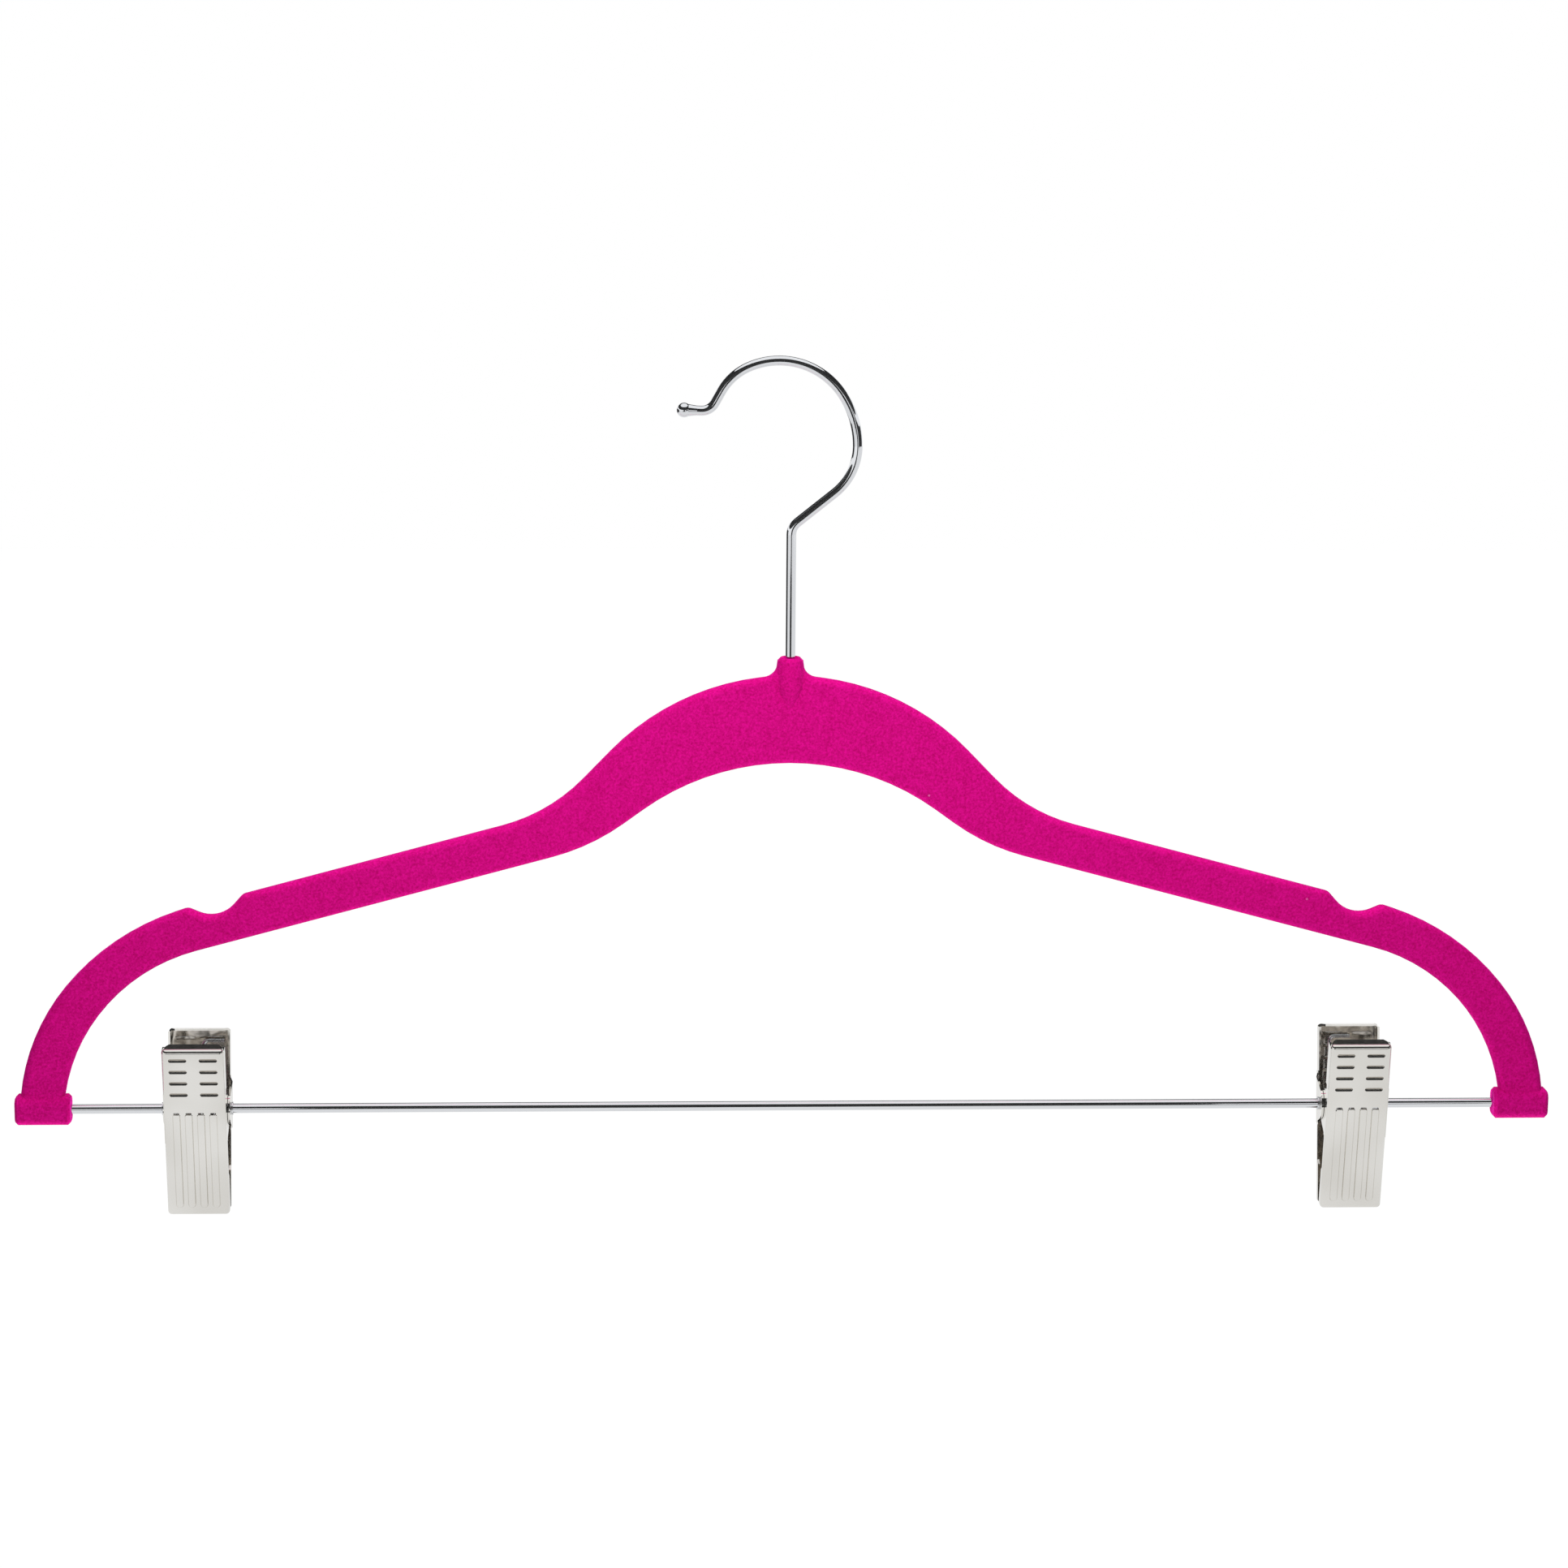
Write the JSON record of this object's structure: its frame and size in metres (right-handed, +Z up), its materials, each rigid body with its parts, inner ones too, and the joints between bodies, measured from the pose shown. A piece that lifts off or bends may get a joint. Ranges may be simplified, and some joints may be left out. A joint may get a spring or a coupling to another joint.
{
  "type": "skirt hanger",
  "caption": "Flocked clothes hanger with an arched slim body, a swivel wire hook and a chrome trouser bar that carries sprung stamped clips.",
  "frame": {"origin": "the point of the hook's inside arc straight above the shank, where the rail carries the hanger", "axes": "+X along the trouser bar towards the hanger's right end, +Z up, the front faces -Y"},
  "size_m": [0.445, 0.0252, 0.249],
  "materials": {
    "flocked_plastic": "short nylon flock on moulded plastic",
    "hook_chrome": "polished",
    "bar_chrome": "polished",
    "clip_nickel": "polished nickel plate",
    "rivet_nickel": "nickel plate",
    "spring_steel": "bright spring wire"
  },
  "bodies": {
    "hook": {"hook": "hook_chrome"},
    "hanger": {"hanger_body": "flocked_plastic", "trouser_bar": "bar_chrome"},
    "left_pivot": {"left_pivot_sleeve": "rivet_nickel"},
    "left_rear": {"left_rear_jaw": "clip_nickel", "left_spring": "spring_steel"},
    "left_front": {"left_front_jaw": "clip_nickel"},
    "right_pivot": {"right_pivot_sleeve": "rivet_nickel"},
    "right_rear": {"right_rear_jaw": "clip_nickel", "right_spring": "spring_steel"},
    "right_front": {"right_front_jaw": "clip_nickel"}
  },
  "joints": [
    {"name": "hook_swivel", "type": "hinge", "parent": "hook", "child": "hanger", "pos_m": [0, 0, -0.09096], "axis": [0, 0, 1], "continuous": true},
    {"name": "left_clip_slide", "type": "slide", "parent": "hanger", "child": "left_pivot", "axis": [1, 0, 0], "range_m": [-0.0145, 0.1588]},
    {"name": "left_clip_swing", "type": "hinge", "parent": "left_pivot", "child": "left_rear", "pos_m": [-0.1703, 0, -0.21496], "axis": [1, 0, 0], "continuous": true},
    {"name": "left_clip_open", "type": "hinge", "parent": "left_rear", "child": "left_front", "pos_m": [-0.1703, 0, -0.21496], "axis": [-1, 0, 0], "range_deg": [0, 40], "stiffness_Nm_per_rad": 0.15, "springref_deg": -45.84, "deforming": ["left_spring"]},
    {"name": "right_clip_slide", "type": "slide", "parent": "hanger", "child": "right_pivot", "axis": [1, 0, 0], "range_m": [-0.1538, 0.0195]},
    {"name": "right_clip_swing", "type": "hinge", "parent": "right_pivot", "child": "right_rear", "pos_m": [0.1653, 0, -0.21496], "axis": [1, 0, 0], "continuous": true},
    {"name": "right_clip_open", "type": "hinge", "parent": "right_rear", "child": "right_front", "pos_m": [0.1653, 0, -0.21496], "axis": [-1, 0, 0], "range_deg": [0, 40], "stiffness_Nm_per_rad": 0.15, "springref_deg": -45.84, "deforming": ["right_spring"]}
  ]
}
